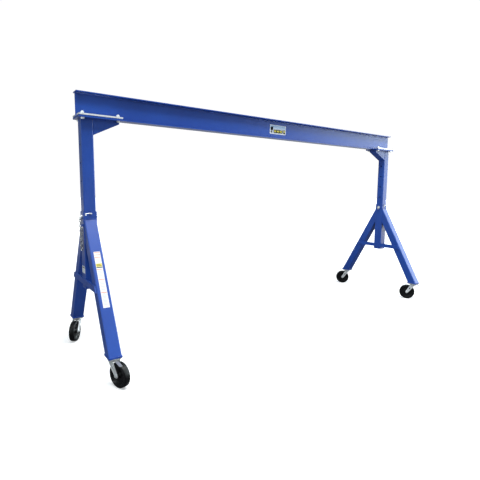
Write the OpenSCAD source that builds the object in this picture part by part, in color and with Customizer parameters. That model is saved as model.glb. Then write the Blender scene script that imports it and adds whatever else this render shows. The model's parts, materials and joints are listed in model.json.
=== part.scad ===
// Portable gantry crane: an I-beam bridge on two height-adjustable A-frame ends with swivel casters.
// Frame: +X along the beam, -Y is the front, +Z up. The origin is on the floor under mid-span.
// Millimetres throughout. Left is the -X end, right is the +X end.

/* [Beam] */
// Length of the I-beam
beam_len = 4412; // [4350:1:4480]
// Depth of the I-beam
beam_depth = 208; // [200:1:212]
// Width of the beam's flanges
beam_w = 102; // [98:1:106]
// Thickness of the beam's flanges
flange_t = 8.5; // [7:0.5:10]
// Thickness of the beam's web
web_t = 6.5; // [5:0.5:9]
// Radius where the web meets a flange
root_r = 8; // [5:1:10]
// Clear height under the beam at rest
beam_under = 2119; // [2110:1:2130]

/* [Uprights] */
// Distance between the two uprights' axes
span = 4254; // [4230:1:4260]
// Outside width of an upright's square tube
tube_w = 101.6; // [100:0.1:102]
// Wall of an upright's square tube
tube_wall = 6.35; // [5:0.05:8]
// Corner radius of an upright's square tube
tube_r = 10; // [9:0.5:12]
// Spacing of the height holes
hole_pitch = 152.4; // [150:0.1:155]
// Number of height holes
hole_count = 7; // [7:1:7]
// Height holes below the one that is pinned at rest
holes_below = 2; // [2:1:2]
// Diameter of the height holes and of the sleeve's pin holes
hole_d = 20.6; // [20:0.1:21]
// Height of the pinned hole
pin_z = 1281.5; // [1275:0.5:1285]
// Length of upright left below the lowest hole
tube_tail = 257; // [240:1:260]

/* [Beam clamp] */
// Length of the mounting plate, along the beam
plate_len = 365; // [355:1:370]
// Width of the mounting plate
plate_w = 210; // [204:1:220]
// Thickness of the mounting plate
plate_t = 9.5; // [8:0.5:12]
// Distance of the mounting plate's outer edge inside the beam's end
plate_inset = 3; // [0:1:6]
// Width of a clamp bar
clamp_w = 76.2; // [70:0.1:80]
// Thickness of a clamp bar
clamp_t = 12.7; // [10:0.1:14]
// Distance of the clamp bolts from the plate's ends
bolt_inset = 35; // [32:1:37]
// Distance of the clamp bolts from the beam's middle plane
bolt_y = 78; // [76:1:80]
// Diameter of the clamp bolts
bolt_d = 16; // [16:1:16]
// Length of the gusset, along the beam
gusset_len = 221; // [210:1:226]
// Height of the gusset at the upright
gusset_h = 133; // [120:1:140]
// Height of the gusset's outer lip
gusset_lip = 24; // [18:1:30]
// Thickness of the gusset's sheet
gusset_t = 5; // [4:0.5:8]

/* [A-frame] */
// Outside width of the sleeve's square tube
sleeve_w = 114.3; // [114:0.1:116]
// Wall of the sleeve
sleeve_wall = 4.76; // [4.5:0.01:5]
// Height of the sleeve's top
sleeve_top = 1329; // [1325:1:1335]
// Height of the sleeve's bottom
sleeve_bottom = 655; // [650:1:662]
// Outside width of a leg's square tube
leg_w = 101.6; // [96:0.1:102]
// Wall of a leg
leg_wall = 4.76; // [4:0.01:6.5]
// Height where a leg's outer face meets the sleeve
leg_top = 1262; // [1250:1:1268]
// Distance of a foot's centre from the beam's middle plane
foot_y = 579; // [570:1:590]
// Underside of the foot plates
foot_z = 227; // [227:1:227]
// Thickness of the foot plates
foot_t = 12; // [10:1:14]
// Height of the brace's lower edge
brace_z = 690; // [680:1:700]
// Depth of the brace
brace_h = 50.8; // [45:0.1:55]

/* [Casters] */
// Diameter of the wheels
wheel_d = 200; // [196:1:200]
// Width of a wheel's tread
wheel_w = 50; // [44:1:52]
// Distance of the axle from the swivel axis
lead = 76; // [74:1:80]
// Direction of the front left caster's axle from its swivel axis, in degrees from +X
heading_front_left = -72; // [-180:1:180]
// Direction of the rear left caster's axle
heading_rear_left = -123; // [-180:1:180]
// Direction of the front right caster's axle
heading_front_right = 118; // [-180:1:180]
// Direction of the rear right caster's axle
heading_rear_right = 135; // [-180:1:180]

/* [Lock pin] */
// Diameter of the lock pin
pin_d = 19.05; // [18.8:0.05:19.2]
// Length of pin past the sleeve on the far side
pin_tail = 20; // [15:1:25]
// Diameter of the wire of the chain's links
wire_d = 5; // [4.5:0.1:5.2]
// Number of links in a chain
link_count = 26; // [26:2:26]

/* [Hidden] */
$fn = 48;

// Ends: the left end is at -X and the right end at +X; legs and feet are front (-Y) or rear (+Y).
LEFT = -1;
RIGHT = 1;
FRONT = -1;
REAR = 1;

// Colours
paint = "royalblue";
zinc = "gainsboro";
steel = "silver";
black = [0.08, 0.08, 0.09];

// How far a cutting shape runs past what it cuts
over = 1;
// Far enough to cut anything away
far = 3000;
// Running clearance, on the radius
running = 0.05;
// Clearance of a bolt in its hole, on the radius
bolt_gap = 0.75;

// Beam and clamp
bolt_hole_r = bolt_d / 2 + bolt_gap;
plate_end = beam_len / 2 - plate_inset;
plate_z = beam_under - plate_t;
clamp_z = beam_under + flange_t;
clamp_top = clamp_z + clamp_t;
spacer_w = 50;
spacer_gap = 2;
spacer_y = beam_w / 2 + spacer_gap;
nut_h = 13;
head_h = 10;
washer_h = 3;
washer_r = 15;
hex_16 = 24;
bolt_stand = 5;
thread_gap = 0.15;

// Upright
tube_bottom = pin_z - holes_below * hole_pitch - tube_tail;

// Sleeve and legs
sleeve_r = 9.5;
leg_r = 9.5;
leg_foot_z = foot_z + foot_t;
leg_run = foot_y - sleeve_w / 2;
leg_rise = leg_top - leg_foot_z;
leg_angle = atan(leg_run / leg_rise) + asin(leg_w / 2 / norm([leg_run, leg_rise]));
foot_len_x = 108;
foot_len_y = 127;
foot_r = 6;
brace_out = 6.35;
brace_end_inset = 14;

// Clamp screw on the sleeve's front face
screw_d = 12;
screw_drop = 15;
screw_z = sleeve_top - screw_drop;
screw_nut = 19;
screw_nut_h = 10;
screw_stand = 26;
screw_arm = 46;
screw_tip = 18;
handle_r = 4;
grip_r = 5;

// Caster: heights above the floor and radii from the swivel axis
wheel_r = wheel_d / 2;
caster_plate_t = 7;
caster_plate_x = 101.6;
caster_plate_y = 114.3;
caster_plate_r = 10;
race_z = foot_z - caster_plate_t;
upper_race_h = 5.5;
upper_race_r = 44;
ball_r = 2.75;
ball_ring_r = 33;
fork_t = 6;
crown_t = 7;
lower_race_h = 5;
lower_race_r = 45;
lower_race_top = race_z - upper_race_h - 2 * ball_r;
crown_top = lower_race_top - lower_race_h;
crown_back = -24;
crown_front = 36;
kingpin_r = 10;
kingpin_nut = 30;
kingpin_nut_h = 12;
fork_in = 30;
fork_out = fork_in + fork_t;
fork_end_r = 18;
axle_r = 6.35;
axle_hex = 19;
axle_head_h = 8;
axle_nut_h = 11;
axle_end = 4;
bush_r = 11;
bush_gap = 0.2;
bush_half = fork_in - bush_gap;
hub_r = 24;
hub_half = 28.5;
web_half = 20;
rim_in_r = 80;
tread_corner = 6;
caster_bolt_x = 33.3;
caster_bolt_y = 46;
caster_bolt_r = 5;
caster_bolt_hex = 17;
caster_bolt_head = 6.4;

// Brake lever, from its pivot under the caster plate's outer edge
pivot_out = 52;
pivot_z = 213.5;
pivot_r = 3;
knuckle_r = 5.5;
lug_in = 13.5;
lug_t = 4;
lug_half = 6;
lever_half = 13;
lever_t = 5;
lever_end = 185;
pad_in = 46.8;
pad_t = 4;
pad_z = 204.8;
pad_half = 10;

// Lock pin and chain, measured from the upright's axis
pin_head_r = 19;
pin_head_t = 10;
pin_head_gap = 0.5;
pin_stem_r = 6;
pin_stem = 10;
pin_point = 5;
ring_r = 14;
ring_wire = 2.5;
ring_x = -sleeve_w / 2 - pin_head_gap - pin_head_t - pin_stem / 2;
link_in = 5.5;
link_side = 14;
ring_to_chain = 7;
chain_top = pin_z - 2 * ring_r - ring_to_chain;
chain_bottom = 996;
eye_y = -44;
eye_z = 1212;
eye_r = 9;
eye_t = 5;
eye_hole_r = 4.5;
chain_to_eye = 3;
bend_r = -eye_y / 2;
bend_z = chain_bottom + bend_r;
down_len = chain_top - bend_z;
bend_len = PI * bend_r;
up_len = eye_z - chain_to_eye - bend_z;
chain_len = down_len + bend_len + up_len;

// ---------------------------------------------------------------- shared shapes

// Square with rounded corners, exact arcs
module round_square(w, h, r) {
    square([w - 2 * r, h], center = true);
    square([w, h - 2 * r], center = true);
    for (x = [-1, 1], y = [-1, 1])
        translate([x * (w / 2 - r), y * (h / 2 - r)])
            circle(r);
}

// Square tube standing on z = 0
module square_tube(w, wall, r, h) {
    linear_extrude(h)
        difference() {
            round_square(w, w, r);
            round_square(w - 2 * wall, w - 2 * wall, r - wall);
        }
}

// Hexagon prism across flats af
module hexagon(af, h) {
    cylinder(d = af / cos(30), h = h, $fn = 6);
}

// Moves to an end's upright axis
module at_end(side) {
    translate([side * span / 2, 0, 0])
        children();
}

// Draws at an end with +X pointing towards mid-span
module facing_in(side) {
    at_end(side)
        mirror([side == RIGHT ? 1 : 0, 0, 0])
            children();
}

// Moves to a caster's swivel axis
module at_foot(side, row) {
    translate([side * span / 2, row * foot_y, 0])
        children();
}

function heading(side, row) =
    side == LEFT
        ? (row == FRONT ? heading_front_left : heading_rear_left)
        : (row == FRONT ? heading_front_right : heading_rear_right);

// Draws in a caster's own frame: +X from the swivel axis towards the axle
module in_caster(side, row) {
    at_foot(side, row)
        rotate([0, 0, heading(side, row)])
            children();
}

// Draws along the axle: z = 0 is the wheel's middle plane
module on_axle() {
    translate([lead, 0, wheel_r])
        rotate([-90, 0, 0])
            children();
}

// ---------------------------------------------------------------- bridge

module beam_section() {
    for (s = [-1, 1])
        translate([-beam_w / 2, s > 0 ? beam_depth - flange_t : 0])
            square([beam_w, flange_t]);
    translate([-web_t / 2, 0])
        square([web_t, beam_depth]);
    for (x = [-1, 1], s = [0, 1])
        translate([0, s * beam_depth])
            mirror([x < 0 ? 1 : 0, 0])
                mirror([0, s])
                    translate([web_t / 2, flange_t])
                        difference() {
                            square(root_r);
                            translate([root_r, root_r])
                                circle(root_r);
                        }
}

module beam() {
    color(paint)
        translate([-beam_len / 2, 0, beam_under])
            rotate([90, 0, 90])
                linear_extrude(beam_len)
                    beam_section();
}

module upright(side) {
    color(paint)
        at_end(side)
            difference() {
                translate([0, 0, tube_bottom])
                    square_tube(tube_w, tube_wall, tube_r, plate_z - tube_bottom);
                for (k = [0 : hole_count - 1])
                    translate([-tube_w, 0, pin_z + (k - holes_below) * hole_pitch])
                        rotate([0, 90, 0])
                            cylinder(d = hole_d, h = 2 * tube_w);
            }
}

// Repeats over the clamp bolts of one end, on the plate's local frame
module each_clamp_bolt(side) {
    for (x = [bolt_inset, plate_len - bolt_inset], y = [-1, 1])
        translate([side * (plate_end - x), y * bolt_y, 0])
            children();
}

// Flat bar of the mounting plate's length, from y0 to y0 + w
module plate_bar(side, y0, w, z0, t) {
    x0 = side == LEFT ? -plate_end : plate_end - plate_len;
    difference() {
        translate([x0, y0, z0])
            cube([plate_len, w, t]);
        translate([0, 0, z0 - over])
            each_clamp_bolt(side)
                cylinder(r = bolt_hole_r, h = t + 2 * over);
    }
}

module mounting_plate(side) {
    color(paint)
        plate_bar(side, -plate_w / 2, plate_w, plate_z, plate_t);
}

module gusset(side) {
    slope = (gusset_h - gusset_lip) / gusset_len;
    rise = gusset_t * sqrt(1 + slope * slope);
    function under(x) = -gusset_h + slope * x;
    inner_end = gusset_len - gusset_t;
    color(paint)
        facing_in(side)
            translate([tube_w / 2, 0, plate_z])
                rotate([90, 0, 0])
                    difference() {
                        linear_extrude(tube_w, center = true)
                            polygon([[0, 0], [0, under(0)], [gusset_len, under(gusset_len)], [gusset_len, 0]]);
                        linear_extrude(tube_w - 2 * gusset_t, center = true)
                            polygon([
                                [-over, over],
                                [-over, under(-over) + rise],
                                [inner_end, under(inner_end) + rise],
                                [inner_end, over]
                            ]);
                    }
}

module spacer_bars(side) {
    color(paint)
        for (y = [-spacer_y - spacer_w, spacer_y])
            plate_bar(side, y, spacer_w, beam_under, flange_t);
}

module clamp_bars(side) {
    color(zinc)
        for (y = [-plate_w / 2, plate_w / 2 - clamp_w])
            plate_bar(side, y, clamp_w, clamp_z, clamp_t);
}

module clamp_bolt() {
    head_top = plate_z - washer_h;
    translate([0, 0, head_top - head_h])
        hexagon(hex_16, head_h);
    translate([0, 0, head_top])
        cylinder(r = washer_r, h = washer_h);
    translate([0, 0, head_top])
        cylinder(d = bolt_d, h = clamp_top + washer_h + nut_h + bolt_stand - head_top);
    difference() {
        union() {
            translate([0, 0, clamp_top])
                cylinder(r = washer_r, h = washer_h);
            translate([0, 0, clamp_top + washer_h])
                hexagon(hex_16, nut_h);
        }
        translate([0, 0, clamp_top - over])
            cylinder(r = bolt_d / 2 + thread_gap, h = washer_h + nut_h + 2 * over);
    }
}

module clamp_bolts(side) {
    color(zinc)
        each_clamp_bolt(side)
            clamp_bolt();
}

// ---------------------------------------------------------------- A-frame

module sleeve(side) {
    color(paint)
        at_end(side)
            difference() {
                translate([0, 0, sleeve_bottom])
                    square_tube(sleeve_w, sleeve_wall, sleeve_r, sleeve_top - sleeve_bottom);
                translate([-sleeve_w, 0, pin_z])
                    rotate([0, 90, 0])
                        cylinder(d = hole_d, h = 2 * sleeve_w);
                translate([0, 0, screw_z])
                    rotate([90, 0, 0])
                        cylinder(d = screw_d + 2 * bolt_gap, h = sleeve_w);
            }
}

module leg(side, row) {
    leg_reach = norm([leg_run, leg_rise]) + leg_w;
    color(paint)
        at_end(side)
            intersection() {
                translate([0, row * foot_y, leg_foot_z])
                    rotate([row * leg_angle, 0, 0])
                        translate([0, 0, -leg_w])
                            square_tube(leg_w, leg_wall, leg_r, leg_reach + leg_w);
                translate([-leg_w, row == REAR ? sleeve_w / 2 : -sleeve_w / 2 - far, leg_foot_z])
                    cube([2 * leg_w, far, far]);
            }
}

// Half-width of the brace at height z, ending inside the legs' outer faces
function brace_half(z) = foot_y + leg_w / 2 / cos(leg_angle) - (z - leg_foot_z) * tan(leg_angle) - brace_end_inset;

module brace(side) {
    inner = leg_w / 2;
    outer = sleeve_w / 2 + brace_out;
    top = brace_z + brace_h;
    color(paint)
        at_end(side)
            difference() {
                translate([-inner, 0, 0])
                    rotate([90, 0, -90])
                        linear_extrude(outer - inner)
                            polygon([
                                [-brace_half(brace_z), brace_z],
                                [brace_half(brace_z), brace_z],
                                [brace_half(top), top],
                                [-brace_half(top), top]
                            ]);
                translate([-sleeve_w / 2, -sleeve_w / 2, brace_z - over])
                    cube([sleeve_w, sleeve_w, brace_h + 2 * over]);
            }
}

// Repeats over the four bolts of one caster
module each_caster_bolt() {
    for (x = [-1, 1], y = [-1, 1])
        translate([x * caster_bolt_x, y * caster_bolt_y, 0])
            children();
}

module foot_plates(side) {
    color(paint)
        for (row = [FRONT, REAR])
            at_foot(side, row)
                difference() {
                    translate([0, 0, foot_z])
                        linear_extrude(foot_t)
                            round_square(foot_len_x, foot_len_y, foot_r);
                    translate([0, 0, foot_z - over])
                        each_caster_bolt()
                            cylinder(r = caster_bolt_r + running, h = foot_t + 2 * over);
                }
}

// Tab with a hole on the sleeve's -X face, which holds the chain's end
module chain_eye() {
    translate([0, eye_y, eye_z])
        rotate([90, 0, 0])
            difference() {
                union() {
                    translate([ring_x, 0, -eye_t / 2])
                        cylinder(r = eye_r, h = eye_t);
                    translate([ring_x, -eye_r, -eye_t / 2])
                        cube([-sleeve_w / 2 - ring_x, 2 * eye_r, eye_t]);
                }
                translate([ring_x, 0, -eye_t])
                    cylinder(r = eye_hole_r, h = 2 * eye_t);
            }
}

// Weld nut of the clamp screw, and the chain's eye on the left end
module sleeve_fittings(side) {
    color(paint)
        at_end(side) {
            translate([0, -sleeve_w / 2, screw_z])
                rotate([90, 0, 0])
                    difference() {
                        hexagon(screw_nut, screw_nut_h);
                        translate([0, 0, -over])
                            cylinder(d = screw_d + 2 * running, h = screw_nut_h + 2 * over);
                    }
            if (side == LEFT)
                chain_eye();
        }
}

module caster_bolts(side) {
    color(zinc)
        for (row = [FRONT, REAR])
            at_foot(side, row)
                each_caster_bolt() {
                    translate([0, 0, race_z - caster_bolt_head])
                        hexagon(caster_bolt_hex, caster_bolt_head);
                    translate([0, 0, race_z])
                        cylinder(r = caster_bolt_r, h = caster_plate_t + foot_t);
                }
}

// ---------------------------------------------------------------- casters

module caster_plate(side, row) {
    color(zinc)
        at_foot(side, row) {
            difference() {
                translate([0, 0, race_z])
                    linear_extrude(caster_plate_t)
                        round_square(caster_plate_x, caster_plate_y, caster_plate_r);
                translate([0, 0, race_z - over]) {
                    cylinder(r = kingpin_r, h = caster_plate_t + 2 * over);
                    each_caster_bolt()
                        cylinder(r = caster_bolt_r + bolt_gap, h = caster_plate_t + 2 * over);
                }
            }
            difference() {
                translate([0, 0, race_z - upper_race_h])
                    cylinder(r = upper_race_r, h = upper_race_h);
                translate([0, 0, race_z - upper_race_h - over])
                    cylinder(r = kingpin_r, h = upper_race_h + over);
            }
            for (x = [-lug_in - lug_t, lug_in])
                translate([x, row * pivot_out, pivot_z])
                    rotate([0, 90, 0])
                        difference() {
                            union() {
                                cylinder(r = lug_half, h = lug_t);
                                translate([pivot_z - race_z, -lug_half, 0])
                                    cube([race_z - pivot_z, 2 * lug_half, lug_t]);
                            }
                            translate([0, 0, -over])
                                cylinder(r = pivot_r + running, h = lug_t + 2 * over);
                        }
        }
}

// Kingpin with its nut, and the ring of balls between the races
module swivel_bearings(side) {
    color(steel)
        for (row = [FRONT, REAR])
            at_foot(side, row) {
                translate([0, 0, crown_top - crown_t])
                    cylinder(r = kingpin_r, h = foot_z - crown_top + crown_t);
                translate([0, 0, crown_top - crown_t - kingpin_nut_h])
                    hexagon(kingpin_nut, kingpin_nut_h);
                translate([0, 0, lower_race_top + ball_r])
                    rotate_extrude()
                        translate([ball_ring_r, 0])
                            circle(ball_r);
            }
}

// One side plate of the fork, drawn in the plane of the wheel: x = heading, y = height
module fork_side() {
    run = lead - (crown_front + crown_back) / 2;
    rise = crown_top - wheel_r;
    across = [rise, run] / norm([rise, run]) * fork_end_r;
    mid = [(crown_front + crown_back) / 2 + run / 2, wheel_r + rise / 2];
    slot_r = 6;
    slot_len = 16;
    difference() {
        union() {
            polygon([
                [crown_back, crown_top],
                [crown_front, crown_top],
                [lead + across[0], wheel_r + across[1]],
                [lead - across[0], wheel_r - across[1]]
            ]);
            translate([lead, wheel_r])
                circle(fork_end_r);
        }
        translate([lead, wheel_r])
            circle(axle_r + running);
        translate(mid)
            rotate(-atan(rise / run)) {
                square([slot_len, 2 * slot_r], center = true);
                for (s = [-1, 1])
                    translate([s * slot_len / 2, 0])
                        circle(slot_r);
            }
    }
}

module caster_fork(side, row) {
    color(zinc)
        in_caster(side, row) {
            difference() {
                union() {
                    translate([crown_back, -fork_out, crown_top - crown_t])
                        cube([crown_front - crown_back, 2 * fork_out, crown_t]);
                    translate([0, 0, crown_top])
                        cylinder(r = lower_race_r, h = lower_race_h);
                }
                translate([0, 0, crown_top - crown_t - over])
                    cylinder(r = kingpin_r + running, h = crown_t + lower_race_h + 2 * over);
            }
            for (y = [-fork_in, fork_out])
                translate([0, y, 0])
                    rotate([90, 0, 0])
                        linear_extrude(fork_t)
                            fork_side();
        }
}

module caster_axle(side, row) {
    tail = fork_out + axle_nut_h + axle_end;
    color(zinc)
        in_caster(side, row)
            on_axle() {
                translate([0, 0, -fork_out - axle_head_h])
                    hexagon(axle_hex, axle_head_h);
                translate([0, 0, -fork_out])
                    cylinder(r = axle_r, h = fork_out + tail);
                difference() {
                    translate([0, 0, fork_out])
                        hexagon(axle_hex, axle_nut_h);
                    cylinder(r = axle_r + thread_gap, h = tail + over);
                }
            }
}

module wheel_bushing(side, row) {
    color(steel)
        in_caster(side, row)
            on_axle()
                difference() {
                    cylinder(r = bush_r, h = 2 * bush_half, center = true);
                    cylinder(r = axle_r + running, h = 2 * bush_half + 2 * over, center = true);
                }
}

// Half of the wheel's section: x = radius, y = distance from the middle plane
module wheel_section() {
    half = wheel_w / 2;
    bore = bush_r + running;
    translate([bore, -hub_half])
        square([hub_r - bore, 2 * hub_half]);
    translate([bore, -web_half])
        square([rim_in_r - bore + over, 2 * web_half]);
    translate([rim_in_r, -half])
        square([wheel_r - tread_corner - rim_in_r, wheel_w]);
    translate([rim_in_r, -half + tread_corner])
        square([wheel_r - rim_in_r, wheel_w - 2 * tread_corner]);
    for (s = [-1, 1])
        translate([wheel_r - tread_corner, s * (half - tread_corner)])
            circle(tread_corner);
}

module caster_wheel(side, row) {
    color(black)
        in_caster(side, row)
            on_axle()
                rotate_extrude()
                    wheel_section();
}

// Foot pedal that presses a pad on the rim of the swivel's lower race; released at rest
module brake_lever(side, row) {
    arm_z = pivot_z - lever_t / 2;
    color(zinc)
        at_foot(side, row)
            mirror([0, row == FRONT ? 1 : 0, 0]) {
                translate([-lever_half, pivot_out, pivot_z])
                    rotate([0, 90, 0])
                        cylinder(r = knuckle_r, h = 2 * lever_half);
                translate([-lever_half, pivot_out, arm_z])
                    cube([2 * lever_half, lever_end - pivot_out - lever_half, lever_t]);
                translate([0, lever_end - lever_half, arm_z])
                    cylinder(r = lever_half, h = lever_t);
                translate([-pad_half, pad_in, pad_z])
                    cube([2 * pad_half, pad_t, pivot_z - pad_z]);
                translate([-lug_in - lug_t, pivot_out, pivot_z])
                    rotate([0, 90, 0])
                        cylinder(r = pivot_r, h = 2 * (lug_in + lug_t));
            }
}

// ---------------------------------------------------------------- lock pin, chain and clamp screw

module lock_pin(side) {
    head_x = -sleeve_w / 2 - pin_head_gap;
    color(zinc)
        at_end(side)
            translate([0, 0, pin_z])
                rotate([0, 90, 0]) {
                    translate([0, 0, head_x])
                        cylinder(d = pin_d, h = sleeve_w / 2 + pin_tail - head_x - pin_point);
                    translate([0, 0, sleeve_w / 2 + pin_tail - pin_point])
                        cylinder(d1 = pin_d, d2 = pin_d - pin_point, h = pin_point);
                    translate([0, 0, head_x - pin_head_t])
                        cylinder(r = pin_head_r, h = pin_head_t);
                    translate([0, 0, head_x - pin_head_t - pin_stem])
                        cylinder(r = pin_stem_r, h = pin_stem);
                    translate([ring_r - ring_wire, 0, head_x - pin_head_t - pin_stem / 2])
                        rotate_extrude()
                            translate([ring_r, 0])
                                circle(ring_wire);
                }
}

// Point on the chain's hanging path, s along it: down, round the bend, and up to the eye
function chain_point(s) =
    s < down_len
        ? [0, chain_top - s]
        : s < down_len + bend_len
            ? bend_point((s - down_len) / bend_r * 180 / PI)
            : [eye_y, bend_z + s - down_len - bend_len];
function bend_point(a) = [-bend_r + bend_r * cos(a), bend_z - bend_r * sin(a)];

// One chain link between two contact points p and q of the (y, z) plane
module chain_link(p, q, roll) {
    tilt = atan2(q[1] - p[1], q[0] - p[0]);
    translate([0, (p[0] + q[0]) / 2, (p[1] + q[1]) / 2])
        rotate([tilt - 90, 0, 0])
            rotate([0, 0, roll]) {
                for (s = [-1, 1])
                    translate([0, s * link_in, -link_side / 2])
                        cylinder(d = wire_d, h = link_side, $fn = 24);
                for (s = [0, 1])
                    mirror([0, 0, s])
                        translate([0, 0, link_side / 2])
                            rotate([90, 0, 90])
                                rotate_extrude(angle = 180, $fn = 24)
                                    translate([link_in, 0])
                                        circle(d = wire_d, $fn = 24);
            }
}

module pin_chain(side) {
    step = chain_len / link_count;
    color(zinc)
        at_end(side)
            translate([ring_x, 0, 0])
                for (k = [0 : link_count - 1])
                    chain_link(chain_point(k * step), chain_point((k + 1) * step), (k + 1) % 2 * 90);
}

module clamp_screw(side) {
    face = sleeve_w / 2;
    reach = face + screw_nut_h + screw_stand;
    arm_out = reach - 2 * handle_r;
    color(zinc)
        at_end(side)
            translate([0, 0, screw_z]) {
                translate([0, -tube_w / 2 - 2 * thread_gap, 0])
                    rotate([90, 0, 0])
                        cylinder(d = screw_d, h = reach - tube_w / 2 - 2 * thread_gap);
                translate([0, -arm_out, 0])
                    rotate([0, -90, 0])
                        cylinder(r = handle_r, h = screw_arm);
                translate([-screw_arm, -arm_out, -screw_tip])
                    cylinder(r = grip_r, h = screw_tip + grip_r);
            }
}

// ---------------------------------------------------------------- nodes

beam();
upright(LEFT);  // upright_left
upright(RIGHT);  // upright_right
mounting_plate(LEFT);  // mounting_plate_left
mounting_plate(RIGHT);  // mounting_plate_right
gusset(LEFT);  // gusset_left
gusset(RIGHT);  // gusset_right
spacer_bars(LEFT);  // spacer_bars_left
spacer_bars(RIGHT);  // spacer_bars_right
clamp_bars(LEFT);  // clamp_bars_left
clamp_bars(RIGHT);  // clamp_bars_right
clamp_bolts(LEFT);  // clamp_bolts_left
clamp_bolts(RIGHT);  // clamp_bolts_right
sleeve(LEFT);  // sleeve_left
sleeve(RIGHT);  // sleeve_right
leg(LEFT, FRONT);  // leg_front_left
leg(LEFT, REAR);  // leg_rear_left
leg(RIGHT, FRONT);  // leg_front_right
leg(RIGHT, REAR);  // leg_rear_right
brace(LEFT);  // brace_left
brace(RIGHT);  // brace_right
foot_plates(LEFT);  // foot_plates_left
foot_plates(RIGHT);  // foot_plates_right
sleeve_fittings(LEFT);  // sleeve_fittings_left
sleeve_fittings(RIGHT);  // sleeve_fittings_right
caster_bolts(LEFT);  // caster_bolts_left
caster_bolts(RIGHT);  // caster_bolts_right
swivel_bearings(LEFT);  // swivel_bearings_left
swivel_bearings(RIGHT);  // swivel_bearings_right
caster_plate(LEFT, FRONT);  // caster_plate_front_left
caster_plate(LEFT, REAR);  // caster_plate_rear_left
caster_plate(RIGHT, FRONT);  // caster_plate_front_right
caster_plate(RIGHT, REAR);  // caster_plate_rear_right
caster_fork(LEFT, FRONT);  // caster_fork_front_left
caster_fork(LEFT, REAR);  // caster_fork_rear_left
caster_fork(RIGHT, FRONT);  // caster_fork_front_right
caster_fork(RIGHT, REAR);  // caster_fork_rear_right
caster_axle(LEFT, FRONT);  // caster_axle_front_left
caster_axle(LEFT, REAR);  // caster_axle_rear_left
caster_axle(RIGHT, FRONT);  // caster_axle_front_right
caster_axle(RIGHT, REAR);  // caster_axle_rear_right
wheel_bushing(LEFT, FRONT);  // wheel_bushing_front_left
wheel_bushing(LEFT, REAR);  // wheel_bushing_rear_left
wheel_bushing(RIGHT, FRONT);  // wheel_bushing_front_right
wheel_bushing(RIGHT, REAR);  // wheel_bushing_rear_right
caster_wheel(LEFT, FRONT);  // caster_wheel_front_left
caster_wheel(LEFT, REAR);  // caster_wheel_rear_left
caster_wheel(RIGHT, FRONT);  // caster_wheel_front_right
caster_wheel(RIGHT, REAR);  // caster_wheel_rear_right
brake_lever(LEFT, FRONT);  // brake_lever_front_left
brake_lever(LEFT, REAR);  // brake_lever_rear_left
brake_lever(RIGHT, FRONT);  // brake_lever_front_right
brake_lever(RIGHT, REAR);  // brake_lever_rear_right
lock_pin(LEFT);  // lock_pin_left
lock_pin(RIGHT);  // lock_pin_right
pin_chain(LEFT);  // pin_chain_left
clamp_screw(LEFT);  // clamp_screw_left
clamp_screw(RIGHT);  // clamp_screw_right
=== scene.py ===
"""Looks of a portable gantry crane: painted steel frame, zinc-plated fasteners and black caster wheels.

Everything is in metres, in the CAD frame: +X along the beam, -Y to the front, +Z up, floor at z = 0.
"""
import json
import math
import random

import bmesh
import bpy
from mathutils import Matrix, Vector


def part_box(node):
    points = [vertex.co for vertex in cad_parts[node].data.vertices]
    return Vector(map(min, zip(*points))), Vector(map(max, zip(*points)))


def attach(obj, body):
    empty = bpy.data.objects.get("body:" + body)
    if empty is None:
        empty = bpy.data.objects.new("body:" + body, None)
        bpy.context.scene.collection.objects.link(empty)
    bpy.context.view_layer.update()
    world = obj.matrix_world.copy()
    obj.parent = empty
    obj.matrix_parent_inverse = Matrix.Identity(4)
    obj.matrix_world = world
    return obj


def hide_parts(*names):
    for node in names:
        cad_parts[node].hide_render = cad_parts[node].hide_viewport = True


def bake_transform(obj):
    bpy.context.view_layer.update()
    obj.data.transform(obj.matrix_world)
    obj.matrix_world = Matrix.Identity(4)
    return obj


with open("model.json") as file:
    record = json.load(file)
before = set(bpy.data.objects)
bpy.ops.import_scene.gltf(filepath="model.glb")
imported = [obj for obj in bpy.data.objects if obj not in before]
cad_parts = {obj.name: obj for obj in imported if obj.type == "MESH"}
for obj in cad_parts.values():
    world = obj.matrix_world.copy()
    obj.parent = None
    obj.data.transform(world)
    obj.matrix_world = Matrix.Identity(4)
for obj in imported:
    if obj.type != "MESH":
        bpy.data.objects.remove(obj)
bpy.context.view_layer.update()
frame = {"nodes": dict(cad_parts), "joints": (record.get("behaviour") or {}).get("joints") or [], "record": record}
NODES = frame["nodes"]
JOINTS = {j["name"]: j for j in frame["joints"]}

ENDS = ("left", "right")
ROWS = ("front", "rear")
SIGN = {"left": -1, "right": 1, "front": -1, "rear": 1}
MM = 0.001
TAU = 2 * math.pi
HALF_TURN = math.pi
QUARTER_TURN = math.pi / 2
X_AXIS, Y_AXIS, Z_AXIS = Vector((1, 0, 0)), Vector((0, 1, 0)), Vector((0, 0, 1))
LEG_LEAN = math.radians(29.6)        # the A-frame's legs from the vertical
random.seed(7)


# ---------------------------------------------------------------- node material helpers

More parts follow.
